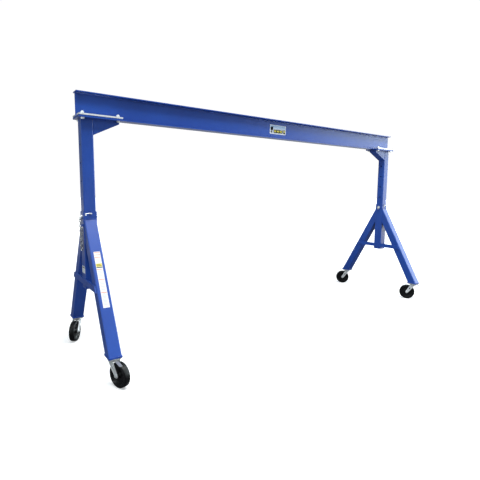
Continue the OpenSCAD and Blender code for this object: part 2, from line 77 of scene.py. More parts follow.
class Shader:
    """A Principled material and short calls that add nodes to it."""

    def __init__(self, name):
        self.material = bpy.data.materials.new(name)
        self.material.use_nodes = True
        self.tree = self.material.node_tree
        self.base = self.tree.nodes["Principled BSDF"]
        self.coords = self.add("ShaderNodeNewGeometry").outputs["Position"]
        self.own_coords = None

    def add(self, kind, **values):
        made = self.tree.nodes.new(kind)
        for key, value in values.items():
            if key in made.inputs:
                self.feed(made.inputs[key], value)
            else:
                setattr(made, key, value)
        return made

    def feed(self, socket, value):
        if isinstance(value, bpy.types.NodeSocket):
            self.tree.links.new(value, socket)
        else:
            socket.default_value = value

    def set(self, **values):
        for key, value in values.items():
            self.feed(self.base.inputs[key.replace("_", " ")], value)

    def noise(self, scale, detail=3.0, roughness=0.55, stretch=(1, 1, 1)):
        scaled = self.add("ShaderNodeMapping", Vector=self.object_coords(), Scale=stretch)
        made = self.add("ShaderNodeTexNoise", Vector=scaled.outputs[0], Scale=scale, Detail=detail,
                        Roughness=roughness)
        return made.outputs["Fac"]

    def object_coords(self):
        if self.own_coords is None:
            self.own_coords = self.add("ShaderNodeTexCoord").outputs["Object"]
        return self.own_coords

    def ramp(self, value, low, high, at=(0.0, 1.0)):
        """Maps value from the range at to the range low to high, clamped."""
        made = self.add("ShaderNodeMapRange", Value=value)
        made.inputs["From Min"].default_value, made.inputs["From Max"].default_value = at
        made.inputs["To Min"].default_value, made.inputs["To Max"].default_value = low, high
        return made.outputs[0]

    def maths(self, kind, a, b=0.0):
        made = self.add("ShaderNodeMath", operation=kind)
        self.feed(made.inputs[0], a)
        self.feed(made.inputs[1], b)
        return made.outputs[0]

    def mix(self, factor, a, b):
        made = self.add("ShaderNodeMix", data_type="RGBA")
        self.feed(made.inputs[0], factor)
        self.feed(made.inputs[6], a)
        self.feed(made.inputs[7], b)
        return made.outputs[2]

    def edge(self, radius, sharp=0.985):
        """1 on convex and concave edges, 0 on flats."""
        bent = self.add("ShaderNodeBevel", samples=4, Radius=radius)
        straight = self.add("ShaderNodeNewGeometry").outputs["Normal"]
        dot = self.add("ShaderNodeVectorMath", operation="DOT_PRODUCT")
        self.feed(dot.inputs[0], bent.outputs[0])
        self.feed(dot.inputs[1], straight)
        return self.ramp(dot.outputs["Value"], 1.0, 0.0, at=(0.86, sharp))

    def painted_corner_shade(self, reach):
        """Mask for painted shade: 0 deep inside holes and corners, 1 on open faces."""
        made = self.add("ShaderNodeAmbientOcclusion", samples=6, Distance=reach)
        return self.ramp(made.outputs["AO"], 0.0, 1.0, at=(0.18, 0.66))

    def facing_up(self):
        """1 on faces that look straight up, 0 on steep ones."""
        split = self.add("ShaderNodeSeparateXYZ")
        self.feed(split.inputs[0], self.add("ShaderNodeNewGeometry").outputs["Normal"])
        return self.ramp(split.outputs[2], 0.0, 1.0, at=(0.6, 1.0))

    def bump(self, height, distance, strength=1.0):
        made = self.add("ShaderNodeBump", Height=height, Strength=strength, Distance=distance)
        self.feed(self.base.inputs["Normal"], made.outputs[0])


def rgb(r, g, b):
    return (r, g, b, 1.0)


def blue_paint():
    """Glossy royal-blue enamel: orange peel, fine dust on top faces, dulled patches, painted shade in holes and
    corners, and lighter edges that are partly worn paint and partly a painted highlight.
    """
    s = Shader("blue_paint")
    patches = s.noise(2.2, 5.0, 0.6)
    grime = s.noise(16.0, 6.0, 0.65)
    speck = s.noise(260.0, 2.0)
    deep, bright = rgb(0.009, 0.052, 0.300), rgb(0.013, 0.068, 0.365)
    colour = s.mix(s.ramp(patches, 0.0, 1.0, at=(0.3, 0.7)), deep, bright)
    colour = s.mix(s.ramp(grime, 0.0, 0.30, at=(0.52, 0.85)), colour, rgb(0.008, 0.034, 0.19))
    dust = s.maths("MULTIPLY", s.facing_up(), s.ramp(s.noise(9.0, 5.0), 0.02, 0.16))
    colour = s.mix(dust, colour, rgb(0.20, 0.26, 0.42))
    # painted shade: the enamel turns near black in holes, corners and under overhangs
    colour = s.mix(s.painted_corner_shade(0.16), rgb(0.002, 0.006, 0.03), colour)
    # lighter blue on edges: partly worn paint, partly a painted highlight
    worn = s.maths("MULTIPLY", s.edge(0.0022), s.ramp(grime, 0.0, 0.55, at=(0.42, 0.66)))
    colour = s.mix(worn, colour, rgb(0.06, 0.15, 0.50))
    rough = s.maths("ADD", s.ramp(grime, 0.26, 0.42), s.ramp(speck, -0.03, 0.03))
    s.set(Base_Color=colour, Roughness=rough, Specular_IOR_Level=0.4, Coat_Weight=0.15, Coat_Roughness=0.16)
    peel = s.maths("ADD", s.maths("MULTIPLY", s.noise(320.0, 2.0), 0.55),
                   s.maths("MULTIPLY", s.noise(28.0), 0.9))
    s.bump(peel, 0.00035, 0.5)
    return s.material


def zinc_plate(name, tone=1.0):
    """Bright zinc on steel: fine drawn streaks, faint blue and yellow passivation and dull spots."""
    s = Shader(name)

    def toned(r, g, b):
        return rgb(r * tone, g * tone, b * tone)

    cloud = s.noise(38.0, 4.0, 0.6)
    streak = s.noise(140.0, 3.0, stretch=(0.12, 1, 1))
    colour = s.mix(s.ramp(cloud, 0.0, 1.0, at=(0.35, 0.65)), toned(0.78, 0.80, 0.82),
                   toned(0.92, 0.92, 0.90))
    colour = s.mix(s.ramp(streak, 0.0, 0.25, at=(0.45, 0.8)), colour, toned(0.62, 0.62, 0.60))
    colour = s.mix(s.maths("MULTIPLY", s.edge(0.0012), 0.5), colour, toned(0.96, 0.96, 0.96))
    rough = s.maths("ADD", s.ramp(cloud, 0.24, 0.40), s.ramp(streak, 0.0, 0.10))
    s.set(Base_Color=colour, Metallic=0.7, Roughness=rough)
    s.bump(streak, 0.00012, 0.35)
    return s.material


def bright_steel():
    """Turned steel with a thin film of oil."""
    s = Shader("bright_steel")
    ring = s.noise(900.0, 2.0, stretch=(0.2, 1, 1))
    stain = s.noise(60.0, 4.0)
    colour = s.mix(s.ramp(stain, 0.0, 0.7, at=(0.4, 0.8)), rgb(0.56, 0.56, 0.57),
                   rgb(0.30, 0.27, 0.23))
    s.set(Base_Color=colour, Metallic=1.0, Roughness=s.ramp(ring, 0.18, 0.40))
    s.bump(ring, 0.00006, 0.4)
    return s.material


def chain_steel():
    """Tarnished zinc on the chain's wire: dark, with bright spots that are partly worn zinc and partly painted
    glints.
    """
    s = Shader("chain_steel")
    wear_and_glints = s.noise(210.0, 4.0, 0.65)
    pits = s.noise(800.0, 2.0)
    # bright patches: partly worn zinc, partly painted glints
    colour = s.mix(s.ramp(wear_and_glints, 0.0, 1.0, at=(0.46, 0.58)), rgb(0.14, 0.15, 0.17),
                   rgb(0.95, 0.95, 0.93))
    s.set(Base_Color=colour, Metallic=1.0, Roughness=s.ramp(wear_and_glints, 0.34, 0.16, at=(0.4, 0.65)))
    s.bump(pits, 0.0001, 0.4)
    return s.material


def black_tread():
    """Black moulded rubber, greyed where it has rolled on a dusty floor."""
    s = Shader("black_tread")
    scuff = s.noise(42.0, 6.0, 0.7)
    grain = s.noise(700.0, 2.0)
    colour = s.mix(s.ramp(scuff, 0.0, 0.8, at=(0.45, 0.8)), rgb(0.0025, 0.0025, 0.003),
                   rgb(0.009, 0.009, 0.0095))
    # lighter shoulders: partly scuffed rubber, partly a painted rim highlight
    colour = s.mix(s.maths("MULTIPLY", s.edge(0.002), 0.35), colour, rgb(0.05, 0.05, 0.052))
    s.set(Base_Color=colour, Roughness=s.ramp(scuff, 0.26, 0.46), Specular_IOR_Level=0.24)
    s.bump(s.maths("ADD", scuff, s.maths("MULTIPLY", grain, 0.35)), 0.0003, 0.5)
    return s.material


def black_core():
    """Cast wheel centre in semi-gloss black."""
    s = Shader("black_core")
    cast = s.noise(520.0, 3.0)
    dust = s.noise(24.0, 5.0)
    colour = s.mix(s.ramp(dust, 0.0, 0.6, at=(0.5, 0.85)), rgb(0.003, 0.003, 0.0035),
                   rgb(0.010, 0.010, 0.0095))
    s.set(Base_Color=colour, Roughness=s.ramp(dust, 0.2, 0.4), Specular_IOR_Level=0.26, Coat_Weight=0.08,
          Coat_Roughness=0.2)
    s.bump(cast, 0.0003, 0.45)
    return s.material


def weld_paint():
    """The frame's enamel over a weld bead: the same blue, thicker and shinier in the ripples."""
    s = Shader("weld_paint")
    spatter = s.noise(380.0, 3.0)
    s.set(Base_Color=s.mix(s.ramp(spatter, 0.0, 1.0), rgb(0.008, 0.044, 0.28), rgb(0.012, 0.066, 0.40)),
          Roughness=s.ramp(spatter, 0.2, 0.38), Specular_IOR_Level=0.3, Coat_Weight=0.3, Coat_Roughness=0.12)
    s.bump(spatter, 0.0005, 0.5)
    return s.material


def print_ink(name, colour, worn=0.12):
    """Printed vinyl: slightly mottled, satin, with a few scuffs."""
    s = Shader(name)
    mottle = s.noise(120.0, 4.0)
    scuffs = s.noise(35.0, 6.0, 0.75)
    dull = tuple(c * 0.78 for c in colour[:3]) + (1.0,)
    s.set(Base_Color=s.mix(s.ramp(scuffs, 0.0, worn, at=(0.5, 0.8)), colour, dull),
          Roughness=s.ramp(mottle, 0.3, 0.46), Coat_Weight=0.2, Coat_Roughness=0.25)
    s.bump(mottle, 0.00008, 0.3)
    return s.material


def pale_floor():
    """Plain pale floor for the camera; in mirror rays it is darker, and bright far out and front right."""
    s = Shader("pale_floor")
    tone = s.noise(0.7, 4.0)
    away = s.add("ShaderNodeVectorMath", operation="LENGTH")
    s.feed(away.inputs[0], s.coords)
    glow = s.ramp(away.outputs["Value"], 0.35, 1.0, at=(3.0, 8.0))
    seen = s.add("ShaderNodeLightPath").outputs["Is Camera Ray"]
    pale = s.mix(s.ramp(tone, 0.0, 1.0), rgb(0.86, 0.86, 0.865), rgb(0.90, 0.90, 0.90))
    mirrored = s.add("ShaderNodeLightPath").outputs["Is Glossy Ray"]
    # painted reflection: rays other than the camera's see the floor darker, darkest in mirror rays
    unseen = s.mix(mirrored, rgb(0.36, 0.36, 0.37), rgb(0.10, 0.10, 0.11))
    place = s.add("ShaderNodeSeparateXYZ")
    s.feed(place.inputs[0], s.coords)
    front_right = s.maths("MULTIPLY", s.ramp(place.outputs[0], 0.0, 4.0, at=(5.5, 8.5)),
                          s.ramp(place.outputs[1], 1.0, 0.0, at=(-3.0, -0.5)))
    # painted reflection: in mirror rays the floor glows far out and front right, though it is no lamp
    distant = s.maths("ADD", s.ramp(away.outputs["Value"], 0.0, 0.65, at=(6.0, 10.0)), front_right)
    horizon = s.maths("MULTIPLY", distant, mirrored)
    s.set(Base_Color=s.mix(seen, unseen, pale), Roughness=s.ramp(s.noise(30.0), 0.55, 0.7),
          Specular_IOR_Level=0.1, Emission_Color=rgb(1, 1, 1),
          Emission_Strength=s.maths("ADD", s.maths("MULTIPLY", glow, seen), horizon))
    return s.material


BLUE = blue_paint()
ZINC = zinc_plate("zinc_plate")
# a darker copy of the zinc plate: painted shade for the brake pedals' shadowed undersides
SHADED_ZINC = zinc_plate("zinc_plate_dull", 0.55)
STEEL = bright_steel()
CHAIN = chain_steel()
TREAD = black_tread()
CORE = black_core()
WELD = weld_paint()
WHITE_INK = print_ink("ink_white", rgb(0.82, 0.83, 0.84))
ORANGE_INK = print_ink("ink_orange", rgb(0.72, 0.16, 0.03))
YELLOW_INK = print_ink("ink_yellow", rgb(0.68, 0.58, 0.07))
DARK_INK = print_ink("ink_dark", rgb(0.03, 0.03, 0.035))
GREY_INK = print_ink("ink_grey", rgb(0.52, 0.55, 0.60))
PALE_BLUE_INK = print_ink("ink_pale_blue", rgb(0.45, 0.60, 0.82))
SLOTS = {"blue_paint": BLUE, "zinc": ZINC, "steel": STEEL, "wheel": TREAD}


# ---------------------------------------------------------------- mesh helpers

def piece(name, mesh, body, materials, smooth=math.radians(35)):
    """Turns a bmesh into a named piece that rides on a body."""
    bmesh.ops.remove_doubles(mesh, verts=mesh.verts, dist=1e-7)
    bmesh.ops.recalc_face_normals(mesh, faces=mesh.faces)
    data = bpy.data.meshes.new(name)
    mesh.to_mesh(data)
    mesh.free()
    made = bpy.data.objects.new(name, data)
    bpy.context.scene.collection.objects.link(made)
    for material in materials if isinstance(materials, (list, tuple)) else [materials]:
        data.materials.append(material)
    data.polygons.foreach_set("use_smooth", [True] * len(data.polygons))
    data.set_sharp_from_angle(angle=smooth)
    if body:
        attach(made, body)
    return made


def circle_point(r, share):
    """Point on a circle about the origin, at a share of its turn."""
    return r * math.cos(TAU * share), r * math.sin(TAU * share)


def sweep(mesh, points, radii, closed=False, sides=10, up=Vector((0, 0, 1))):
    """Round tube along points, with one radius per point."""
    rings = []
    count = len(points)
    side = None
    for i, p in enumerate(points):
        before = points[i - 1] if i or closed else points[0]
        after = points[(i + 1) % count] if i < count - 1 or closed else points[-1]
        along = (after - before).normalized()
        if side is None:
            side = along.cross(up)
            if side.length < 1e-3:
                side = along.cross(Vector((1, 0, 0)))
        side = (side - along * side.dot(along)).normalized()
        other = along.cross(side)
        ring = []
        for k in range(sides):
            turn = TAU * k / sides
            ring.append(mesh.verts.new(p + (side * math.cos(turn) + other * math.sin(turn)) * radii[i]))
        rings.append(ring)
    last = count if closed else count - 1
    for i in range(last):
        a, b = rings[i], rings[(i + 1) % count]
        shift = 0
        if closed and i == count - 1:
            shift = min(range(sides), key=lambda k: (a[0].co - b[k].co).length)
        for k in range(sides):
            n = (k + 1) % sides
            mesh.faces.new((a[k], a[n], b[(n + shift) % sides], b[(k + shift) % sides]))
    if not closed:
        mesh.faces.new(rings[0][::-1])
        mesh.faces.new(rings[-1])


def lathe(mesh, profile, place, sides=64):
    """Revolves (radius, height) points about the local Z of place; a closed profile makes a ring."""
    rings = []
    for r, h in profile:
        rings.append([mesh.verts.new(place @ Vector((*circle_point(r, k / sides), h))) for k in range(sides)])
    for i in range(len(rings)):
        a, b = rings[i], rings[(i + 1) % len(rings)]
        for k in range(sides):
            n = (k + 1) % sides
            mesh.faces.new((a[k], a[n], b[n], b[k]))


def prism(mesh, outline, low, high, place, slot=0):
    """Extrudes a 2D outline from low to high along the local Z of place."""
    bottom = [mesh.verts.new(place @ Vector((x, y, low))) for x, y in outline]
    top = [mesh.verts.new(place @ Vector((x, y, high))) for x, y in outline]
    mesh.faces.new(bottom[::-1]).material_index = slot
    mesh.faces.new(top).material_index = slot
    for k in range(len(outline)):
        n = (k + 1) % len(outline)
        mesh.faces.new((bottom[k], bottom[n], top[n], top[k])).material_index = slot


def arc(cx, cy, r, start, end, steps):
    """Points of an arc about (cx, cy), both ends included."""
    turns = [start + (end - start) * k / steps for k in range(steps + 1)]
    return [(cx + r * math.cos(turn), cy + r * math.sin(turn)) for turn in turns]


def full_circle(cx, r, steps):
    """Closed circle about (cx, 0), without its repeated last point."""
    return arc(cx, 0, r, 0, TAU, steps)[:-1]


def bevel(obj, width, segments=2, angle=math.radians(40)):
    made = obj.modifiers.new("soft_edges", "BEVEL")
    made.width = width
    made.segments = segments
    made.limit_method = "ANGLE"
    made.angle_limit = angle
    made.harden_normals = True
    made.use_clamp_overlap = True
    return made


def place_on(origin, z_axis, x_hint):
    """Matrix with its origin, its Z along z_axis and its X as near x_hint as it can be."""
    z = Vector(z_axis).normalized()
    x = Vector(x_hint)
    x = (x - z * x.dot(z)).normalized()
    y = z.cross(x)
    made = Matrix((x, y, z)).transposed().to_4x4()
    made.translation = origin
    return made


# ---------------------------------------------------------------- CAD nodes: materials and soft edges

# width in mm of the rounded edges, by the start of the node's name
EDGE_WIDTHS = {
    "beam": 2.5, "upright": 0.6, "sleeve": 0.8, "leg": 0.8, "brace": 1.2, "mounting": 1.5, "gusset": 1.2,
    "spacer": 1.0, "clamp_bars": 1.5, "clamp_bolts": 0.7, "foot": 1.5, "caster_plate": 0.8,
    "caster_bolts": 0.6, "caster_axle": 0.7, "caster_fork": 0.8, "brake_lever": 0.8, "lock_pin": 0.5,
}


def dress_cad_nodes():
    slots = {row["node"]: row["material_slot"] for row in frame["record"]["subparts"]}
    for name, node in NODES.items():
        node.data.materials.clear()
        node.data.materials.append(SLOTS[slots[name]])
        node.data.polygons.foreach_set("use_smooth", [True] * len(node.data.polygons))
        node.data.set_sharp_from_angle(angle=math.radians(30))
        for start, width in EDGE_WIDTHS.items():
            if name.startswith(start):
                bevel(node, width * MM).use_clamp_overlap = name != "beam"


# ---------------------------------------------------------------- welds

def bead(mesh, corners, radius, closed=True):
    """Rippled weld bead along straight runs between corners."""
    ripple = 2.6 * radius
    points, radii = [], []
    runs = list(zip(corners, corners[1:] + corners[:1])) if closed else list(zip(corners, corners[1:]))
    for a, b in runs:
        length = (b - a).length
        steps = max(2, int(length / (ripple / 4)))
        for k in range(steps):
            t = k / steps
            wave = abs(math.sin(math.pi * t * length / ripple))
            points.append(a.lerp(b, t))
            radii.append(radius * (0.82 + 0.26 * wave + random.uniform(-0.05, 0.05)))
    if not closed:
        points.append(corners[-1])
        radii.append(radius * 0.7)
        radii[0] = radius * 0.7
    sweep(mesh, points, radii, closed=closed, sides=8, up=Vector((0.31, 0.62, 0.72)))


def rectangle_at(low, high, axis, at, corner):
    """Corner points of a rounded rectangle in the plane axis = at, between two corners."""
    a, b = [i for i in range(3) if i != axis]
    made = []
    quarters = ((True, True, 0), (False, True, 1), (False, False, 2), (True, False, 3))
    for at_high_a, at_high_b, turn in quarters:
        centre_a = (high[a] - corner) if at_high_a else (low[a] + corner)
        centre_b = (high[b] - corner) if at_high_b else (low[b] + corner)
        for k in range(4):
            angle = QUARTER_TURN * (turn + k / 3)
            p = Vector((0, 0, 0))
            p[a] = centre_a + corner * math.cos(angle)
            p[b] = centre_b + corner * math.sin(angle)
            p[axis] = at
            made.append(p)
    return made


TUBE_CORNER = 9 * MM
LEG_BEAD, BRACE_BEAD, UPRIGHT_BEAD, GUSSET_BEAD = 3.6 * MM, 2.8 * MM, 3.4 * MM, 3.0 * MM
WELD_CREASE = math.radians(80)


def weld_leg(mesh, end, row):
    """Beads round the leg's cut end on the sleeve, round its foot, and under and over the brace."""
    side = SIGN[row]
    sleeve_low, sleeve_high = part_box(f"sleeve_{end}")
    low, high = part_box(f"leg_{row}_{end}")
    width = high.x - low.x
    face = sleeve_high.y if side > 0 else sleeve_low.y
    cut = width / math.sin(LEG_LEAN)
    cut_low, cut_high = Vector((low.x, 0, high.z - cut)), Vector((high.x, 0, high.z))
    bead(mesh, rectangle_at(cut_low, cut_high, 1, face, TUBE_CORNER), LEG_BEAD)
    outer = high.y if side > 0 else low.y
    inner = outer - side * width / math.cos(LEG_LEAN)
    foot_low = Vector((low.x, min(inner, outer), 0))
    foot_high = Vector((high.x, max(inner, outer), 0))
    bead(mesh, rectangle_at(foot_low, foot_high, 2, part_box(f"foot_plates_{end}")[1].z, TUBE_CORNER), LEG_BEAD)
    brace_low, brace_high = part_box(f"brace_{end}")
    outset, cut_back, run = 20 * MM, 20 * MM, 85 * MM
    for z, reach in ((brace_low.z, brace_high.y), (brace_high.z, brace_high.y - cut_back)):
        start = side * (reach - outset - run)
        bead(mesh, [Vector((low.x, start, z)), Vector((low.x, side * (reach - outset), z))], BRACE_BEAD,
             closed=False)


def make_welds():
    for end in ENDS:
        mesh = bmesh.new()
        for row in ROWS:
            weld_leg(mesh, end, row)
        sleeve_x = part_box(f"sleeve_{end}")[0].x
        brace_half = 46 * MM
        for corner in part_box(f"brace_{end}"):
            bead(mesh, [Vector((sleeve_x, -brace_half, corner.z)), Vector((sleeve_x, brace_half, corner.z))],
                 BRACE_BEAD, closed=False)
        piece(f"welds_a_frame_{end}", mesh, f"base_{end}", WELD, smooth=WELD_CREASE)

        mesh = bmesh.new()
        low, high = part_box(f"upright_{end}")
        bead(mesh, rectangle_at(low, high, 2, high.z, 10 * MM), UPRIGHT_BEAD)
        gusset_low, gusset_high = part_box(f"gusset_{end}")
        tube, near = (low.x, gusset_low.x) if SIGN[end] > 0 else (high.x, gusset_high.x)
        inset, foot_inset = 0.93, 0.9
        for y in (gusset_low.y, gusset_high.y):
            bead(mesh, [Vector((tube, y, gusset_high.z)), Vector((near, y, gusset_high.z))], GUSSET_BEAD,
                 closed=False)
            bead(mesh, [Vector((tube, y * inset, gusset_low.z)), Vector((tube, y * inset, gusset_high.z))],
                 GUSSET_BEAD, closed=False)
        bead(mesh, [Vector((tube, y * foot_inset, gusset_low.z)) for y in (gusset_low.y, gusset_high.y)],
             GUSSET_BEAD, closed=False)
        piece(f"welds_upright_{end}", mesh, "bridge", WELD, smooth=WELD_CREASE)


# ---------------------------------------------------------------- casters

def caster_frame(end, row):
    """Matrices of the swivel axis (X towards the axle) and of the axle (Z along it), and the lead between."""
    pivot = JOINTS[f"swivel_{row}_{end}"]["pos_m"]
    spin = JOINTS[f"spin_{row}_{end}"]
    axle = Vector(spin["pos_m"])
    foot = Vector((pivot[0], pivot[1], 0))
    heading = Vector((axle.x - foot.x, axle.y - foot.y, 0))
    return place_on(foot, Z_AXIS, heading), place_on(axle, spin["axis"], Z_AXIS), heading.length


def in_mm(*points):
    """Pairs given in millimetres, as metres."""
    return [(a * MM, b * MM) for a, b in points]


TREAD_HALF = 25 * MM


def tread_profile(r, half):
    """(radius, height) outline of the tread: flat sides, rounded shoulders and a slightly crowned face."""
    corner, crown, depth, steps = 7 * MM, 1.2 * MM, 19 * MM, 8
    rim = r - depth
    face = []
    for k in range(steps + 1):
        y = -half + corner + (2 * half - 2 * corner) * k / steps
        face.append((r - crown * (y / half) ** 2, y))
    lower = arc(face[0][0] - corner, -half + corner, corner, -QUARTER_TURN, 0, 6)
    upper = arc(face[-1][0] - corner, half - corner, corner, 0, QUARTER_TURN, 6)
    return [(rim, -half + 1 * MM)] + lower + face[1:-1] + upper + [(rim, half - 1 * MM)]


def core_profile(bore, hub, web, rim, half):
    """(radius, height) outline of the wheel's cast centre: hub, thin web, stepped rim."""
    hub_end = 28.3 * MM
    side = [(bore, -hub_end), (hub - 2 * MM, -hub_end), (hub, 2 * MM - hub_end),
            (hub + 2 * MM, -web - 6 * MM), (hub + 6 * MM, -web - 1 * MM), (hub + 12 * MM, -web),
            (rim - 18 * MM, -web - 1 * MM),
            (rim - 15 * MM, -web - 4.5 * MM), (rim - 10 * MM, -web - 5.5 * MM), (rim - 8 * MM, -web - 9 * MM),
            (rim - 6 * MM, -half + 2 * MM), (rim - 4.5 * MM, -half + 0.6 * MM), (rim, -half + 0.6 * MM)]
    return side + [(radius, -height) for radius, height in reversed(side)]


def make_wheel(end, row):
    axle = caster_frame(end, row)[1]
    node = f"caster_wheel_{row}_{end}"
    low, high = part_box(node)
    r = (high.z - low.z) / 2
    mesh = bmesh.new()
    lathe(mesh, tread_profile(r, TREAD_HALF), axle, sides=96)
    tread = piece(f"wheel_tread_{row}_{end}", mesh, f"wheel_{row}_{end}", TREAD)
    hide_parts(node)
    mesh = bmesh.new()
    rim, hub, bore, web = r - 18.8 * MM, 23 * MM, 11.1 * MM, 7 * MM
    lathe(mesh, core_profile(bore, hub, web, rim, TREAD_HALF), axle, sides=96)
    studs, stud_r = 6, 4 * MM
    for k in range(studs):
        turned = axle @ Matrix.Rotation(TAU * k / studs, 4, "Z")
        for side in (-1, 1):
            stud_low, stud_high = sorted((side * (web - 1 * MM), side * (web + 2.2 * MM)))
            prism(mesh, full_circle((hub + rim) / 2, stud_r, 16), stud_low, stud_high, turned)
    core = piece(f"wheel_core_{row}_{end}", mesh, f"wheel_{row}_{end}", CORE)
    bevel(core, 1.0 * MM)


def make_fork(end, row):
    """Pressed fork: a crown with a raised race and two legs, each with a slotted window and two ribs."""
    swivel, axle, lead = caster_frame(end, row)
    node = f"caster_fork_{row}_{end}"
    race_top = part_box(node)[1].z
    crown_top = race_top - 5 * MM
    crown_low = crown_top - 7 * MM
    inner, outer = 30 * MM, 36 * MM
    axle_z = JOINTS[f"spin_{row}_{end}"]["pos_m"][2]
    back, front = -24 * MM, 36 * MM
    end_r, bore_r = 18 * MM, 6.5 * MM
    centre = (back + front) / 2
    rise, run = crown_top - axle_z, lead - centre
    across = Vector((rise, run)).normalized() * end_r
    start = math.atan2(across.y, across.x)
    outline = [(back, crown_top), (lead - across.x, axle_z - across.y)]
    outline += arc(lead, axle_z, end_r, start + HALF_TURN, start + TAU, 14)[1:-1]
    outline += [(lead + across.x, axle_z + across.y), (front, crown_top)]
    mesh = bmesh.new()
    plane = swivel @ Matrix(((1, 0, 0, 0), (0, 0, -1, 0), (0, 1, 0, 0), (0, 0, 0, 1)))
    middle = Vector((centre + run / 2, axle_z + rise / 2))
    tilt = -math.atan2(rise, run)
    slot_r, slot_half = 6 * MM, 8 * MM
    slot = (arc(slot_half, 0, slot_r, -QUARTER_TURN, QUARTER_TURN, 8)
            + arc(-slot_half, 0, slot_r, QUARTER_TURN, 3 * QUARTER_TURN, 8))
    window = [(middle.x + x * math.cos(tilt) - y * math.sin(tilt),
               middle.y + x * math.sin(tilt) + y * math.cos(tilt)) for x, y in slot]
    bore = arc(lead, axle_z, bore_r, 0, TAU, 20)[:-1]
    for side in (-1, 1):
        pierced_plate(mesh, outline, [window, bore], side * inner, side * outer, plane)
    crown = [(back, -outer), (front, -outer), (front, outer), (back, outer)]
    prism(mesh, crown, crown_low, crown_top, swivel)
    hole_r, race_r = 10.1 * MM, 45 * MM
    race = [(hole_r, crown_low + 0.1 * MM), (race_r, crown_top - 0.1 * MM), (race_r, race_top - 1.5 * MM),
            (43.5 * MM, race_top), (36 * MM, race_top), (34.6 * MM, race_top - 1.3 * MM),
            (31.4 * MM, race_top - 1.3 * MM), (30 * MM, race_top), (hole_r, race_top)]
    lathe(mesh, race, swivel)
    rib_y = outer + 0.2 * MM
    for side in (-1, 1):
        for shift in (-1, 1):
            off = across.normalized() * shift
            top = Vector((centre + off.x * 21 * MM, crown_top - 12 * MM))
            foot = Vector((lead, axle_z)) + off * 12.5 * MM + Vector((-run, rise)).normalized() * 6 * MM
            a = swivel @ Vector((top.x, side * rib_y, top.y))
            b = swivel @ Vector((foot.x, side * rib_y, foot.y))
            sweep(mesh, [a.lerp(b, k / 8) for k in range(9)], [1.2 * MM] + [2.2 * MM] * 7 + [1.2 * MM])
        boss = axle @ Matrix.Translation((0, 0, side * outer))
        lathe(mesh, in_mm((6.5, -1), (13.5, -1), (13.5, 0.8), (12.5, 1.6), (6.5, 1.6)), boss, sides=40)
    made = piece(f"fork_{row}_{end}", mesh, f"swivel_{row}_{end}", ZINC)
    bevel(made, 1.0 * MM)
    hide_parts(node)


def pierced_plate(mesh, outline, holes, low, high, place):
    """Plate with holes, filled by triangulation, between two heights along the local Z of place."""
    layers = []
    for height in sorted((low, high)):
        loops = []
        edges = []
        for loop in [outline] + holes:
            verts = [mesh.verts.new(place @ Vector((x, y, height))) for x, y in loop]
            edges += [mesh.edges.new((verts[k], verts[(k + 1) % len(verts)])) for k in range(len(verts))]
            loops.append(verts)
        bmesh.ops.triangle_fill(mesh, use_beauty=True, use_dissolve=True, edges=edges)
        layers.append(loops)
    for bottom, top in zip(*layers):
        for k in range(len(bottom)):
            n = (k + 1) % len(bottom)
            mesh.faces.new((bottom[k], bottom[n], top[n], top[k]))


def make_lever(end, row):
    """Brake pedal: a pressed strip with an eye at its tip, two ribs, a pivot barrel and a friction pad."""
    node = f"brake_lever_{row}_{end}"
    side = SIGN[row]
    low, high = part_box(node)
    pivot = Vector(JOINTS[f"brake_{row}_{end}"]["pos_m"])
    reach = (high.y - pivot.y) if side > 0 else (pivot.y - low.y)
    place = place_on(pivot, Z_AXIS, Y_AXIS * side)
    mesh = bmesh.new()
    half, thick, eye_r = 12.5 * MM, 1.7 * MM, 4.5 * MM
    tip = reach - half - 0.5 * MM
    strip = [(3 * MM, -half)] + arc(tip, 0, half, -QUARTER_TURN, QUARTER_TURN, 20) + [(3 * MM, half)]
    pierced_plate(mesh, strip, [full_circle(tip, eye_r, 24)], -thick, thick, place)
    rib_x, rib_y, rib_steps = 12 * MM, 7 * MM, 12
    for side_y in (-rib_y, rib_y):
        rib = [place @ Vector((rib_x + (tip - 26 * MM) * k / rib_steps, side_y, thick - 0.2 * MM))
               for k in range(rib_steps + 1)]
        sweep(mesh, rib, [0.7 * MM] + [1.5 * MM] * (rib_steps - 1) + [0.7 * MM])
    across_pivot = place_on(pivot, X_AXIS, Z_AXIS)
    barrel = in_mm((0.5, -13), (4.6, -13), (5.4, -12.2), (5.4, 12.2), (4.6, 13), (0.5, 13))
    lathe(mesh, barrel, across_pivot, sides=32)
    pin = in_mm((0.2, -18.6), (4.2, -18.6), (4.4, -17.8), (2.95, -17.6), (2.95, 17.6), (4.4, 17.8),
                (4.2, 18.6), (0.2, 18.6))
    lathe(mesh, pin, across_pivot, sides=28)
    prism(mesh, in_mm((-5.1, -10), (-1.3, -10), (-1.3, 10), (-5.1, 10)), -8.6 * MM, 0.0, place)
    # the pedal takes the darker zinc copy: painted shade
    made = piece(f"brake_pedal_{row}_{end}", mesh, f"brake_{row}_{end}", SHADED_ZINC)
    bevel(made, 0.5 * MM)
    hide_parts(node)


def make_grease_nipple(end, row):
    """Grease nipple on the fork's crown, facing back from the axle."""
    swivel = caster_frame(end, row)[0]
    crown_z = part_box(f"caster_fork_{row}_{end}")[1].z - 8.5 * MM
    spot = swivel @ Vector((-24 * MM, 14 * MM, crown_z))
    mesh = bmesh.new()
    outline = in_mm((0.3, -1.0), (3.4, -1.0), (3.4, 2.2), (2.2, 2.8), (1.6, 5.0), (2.5, 6.2), (2.0, 8.0),
                    (0.3, 8.4))
    lathe(mesh, outline, place_on(spot, swivel.to_3x3() @ -X_AXIS, Z_AXIS), sides=20)
    piece(f"grease_nipple_{row}_{end}", mesh, f"swivel_{row}_{end}", STEEL)


# ---------------------------------------------------------------- chain

CHAIN_WIRE = 2.6 * MM            # radius of the links' wire
CHAIN_PITCH = 21.5 * MM          # least pitch of the links
LINK_HALF_WIDTH = 6.4 * MM       # middle of the wire, across the link


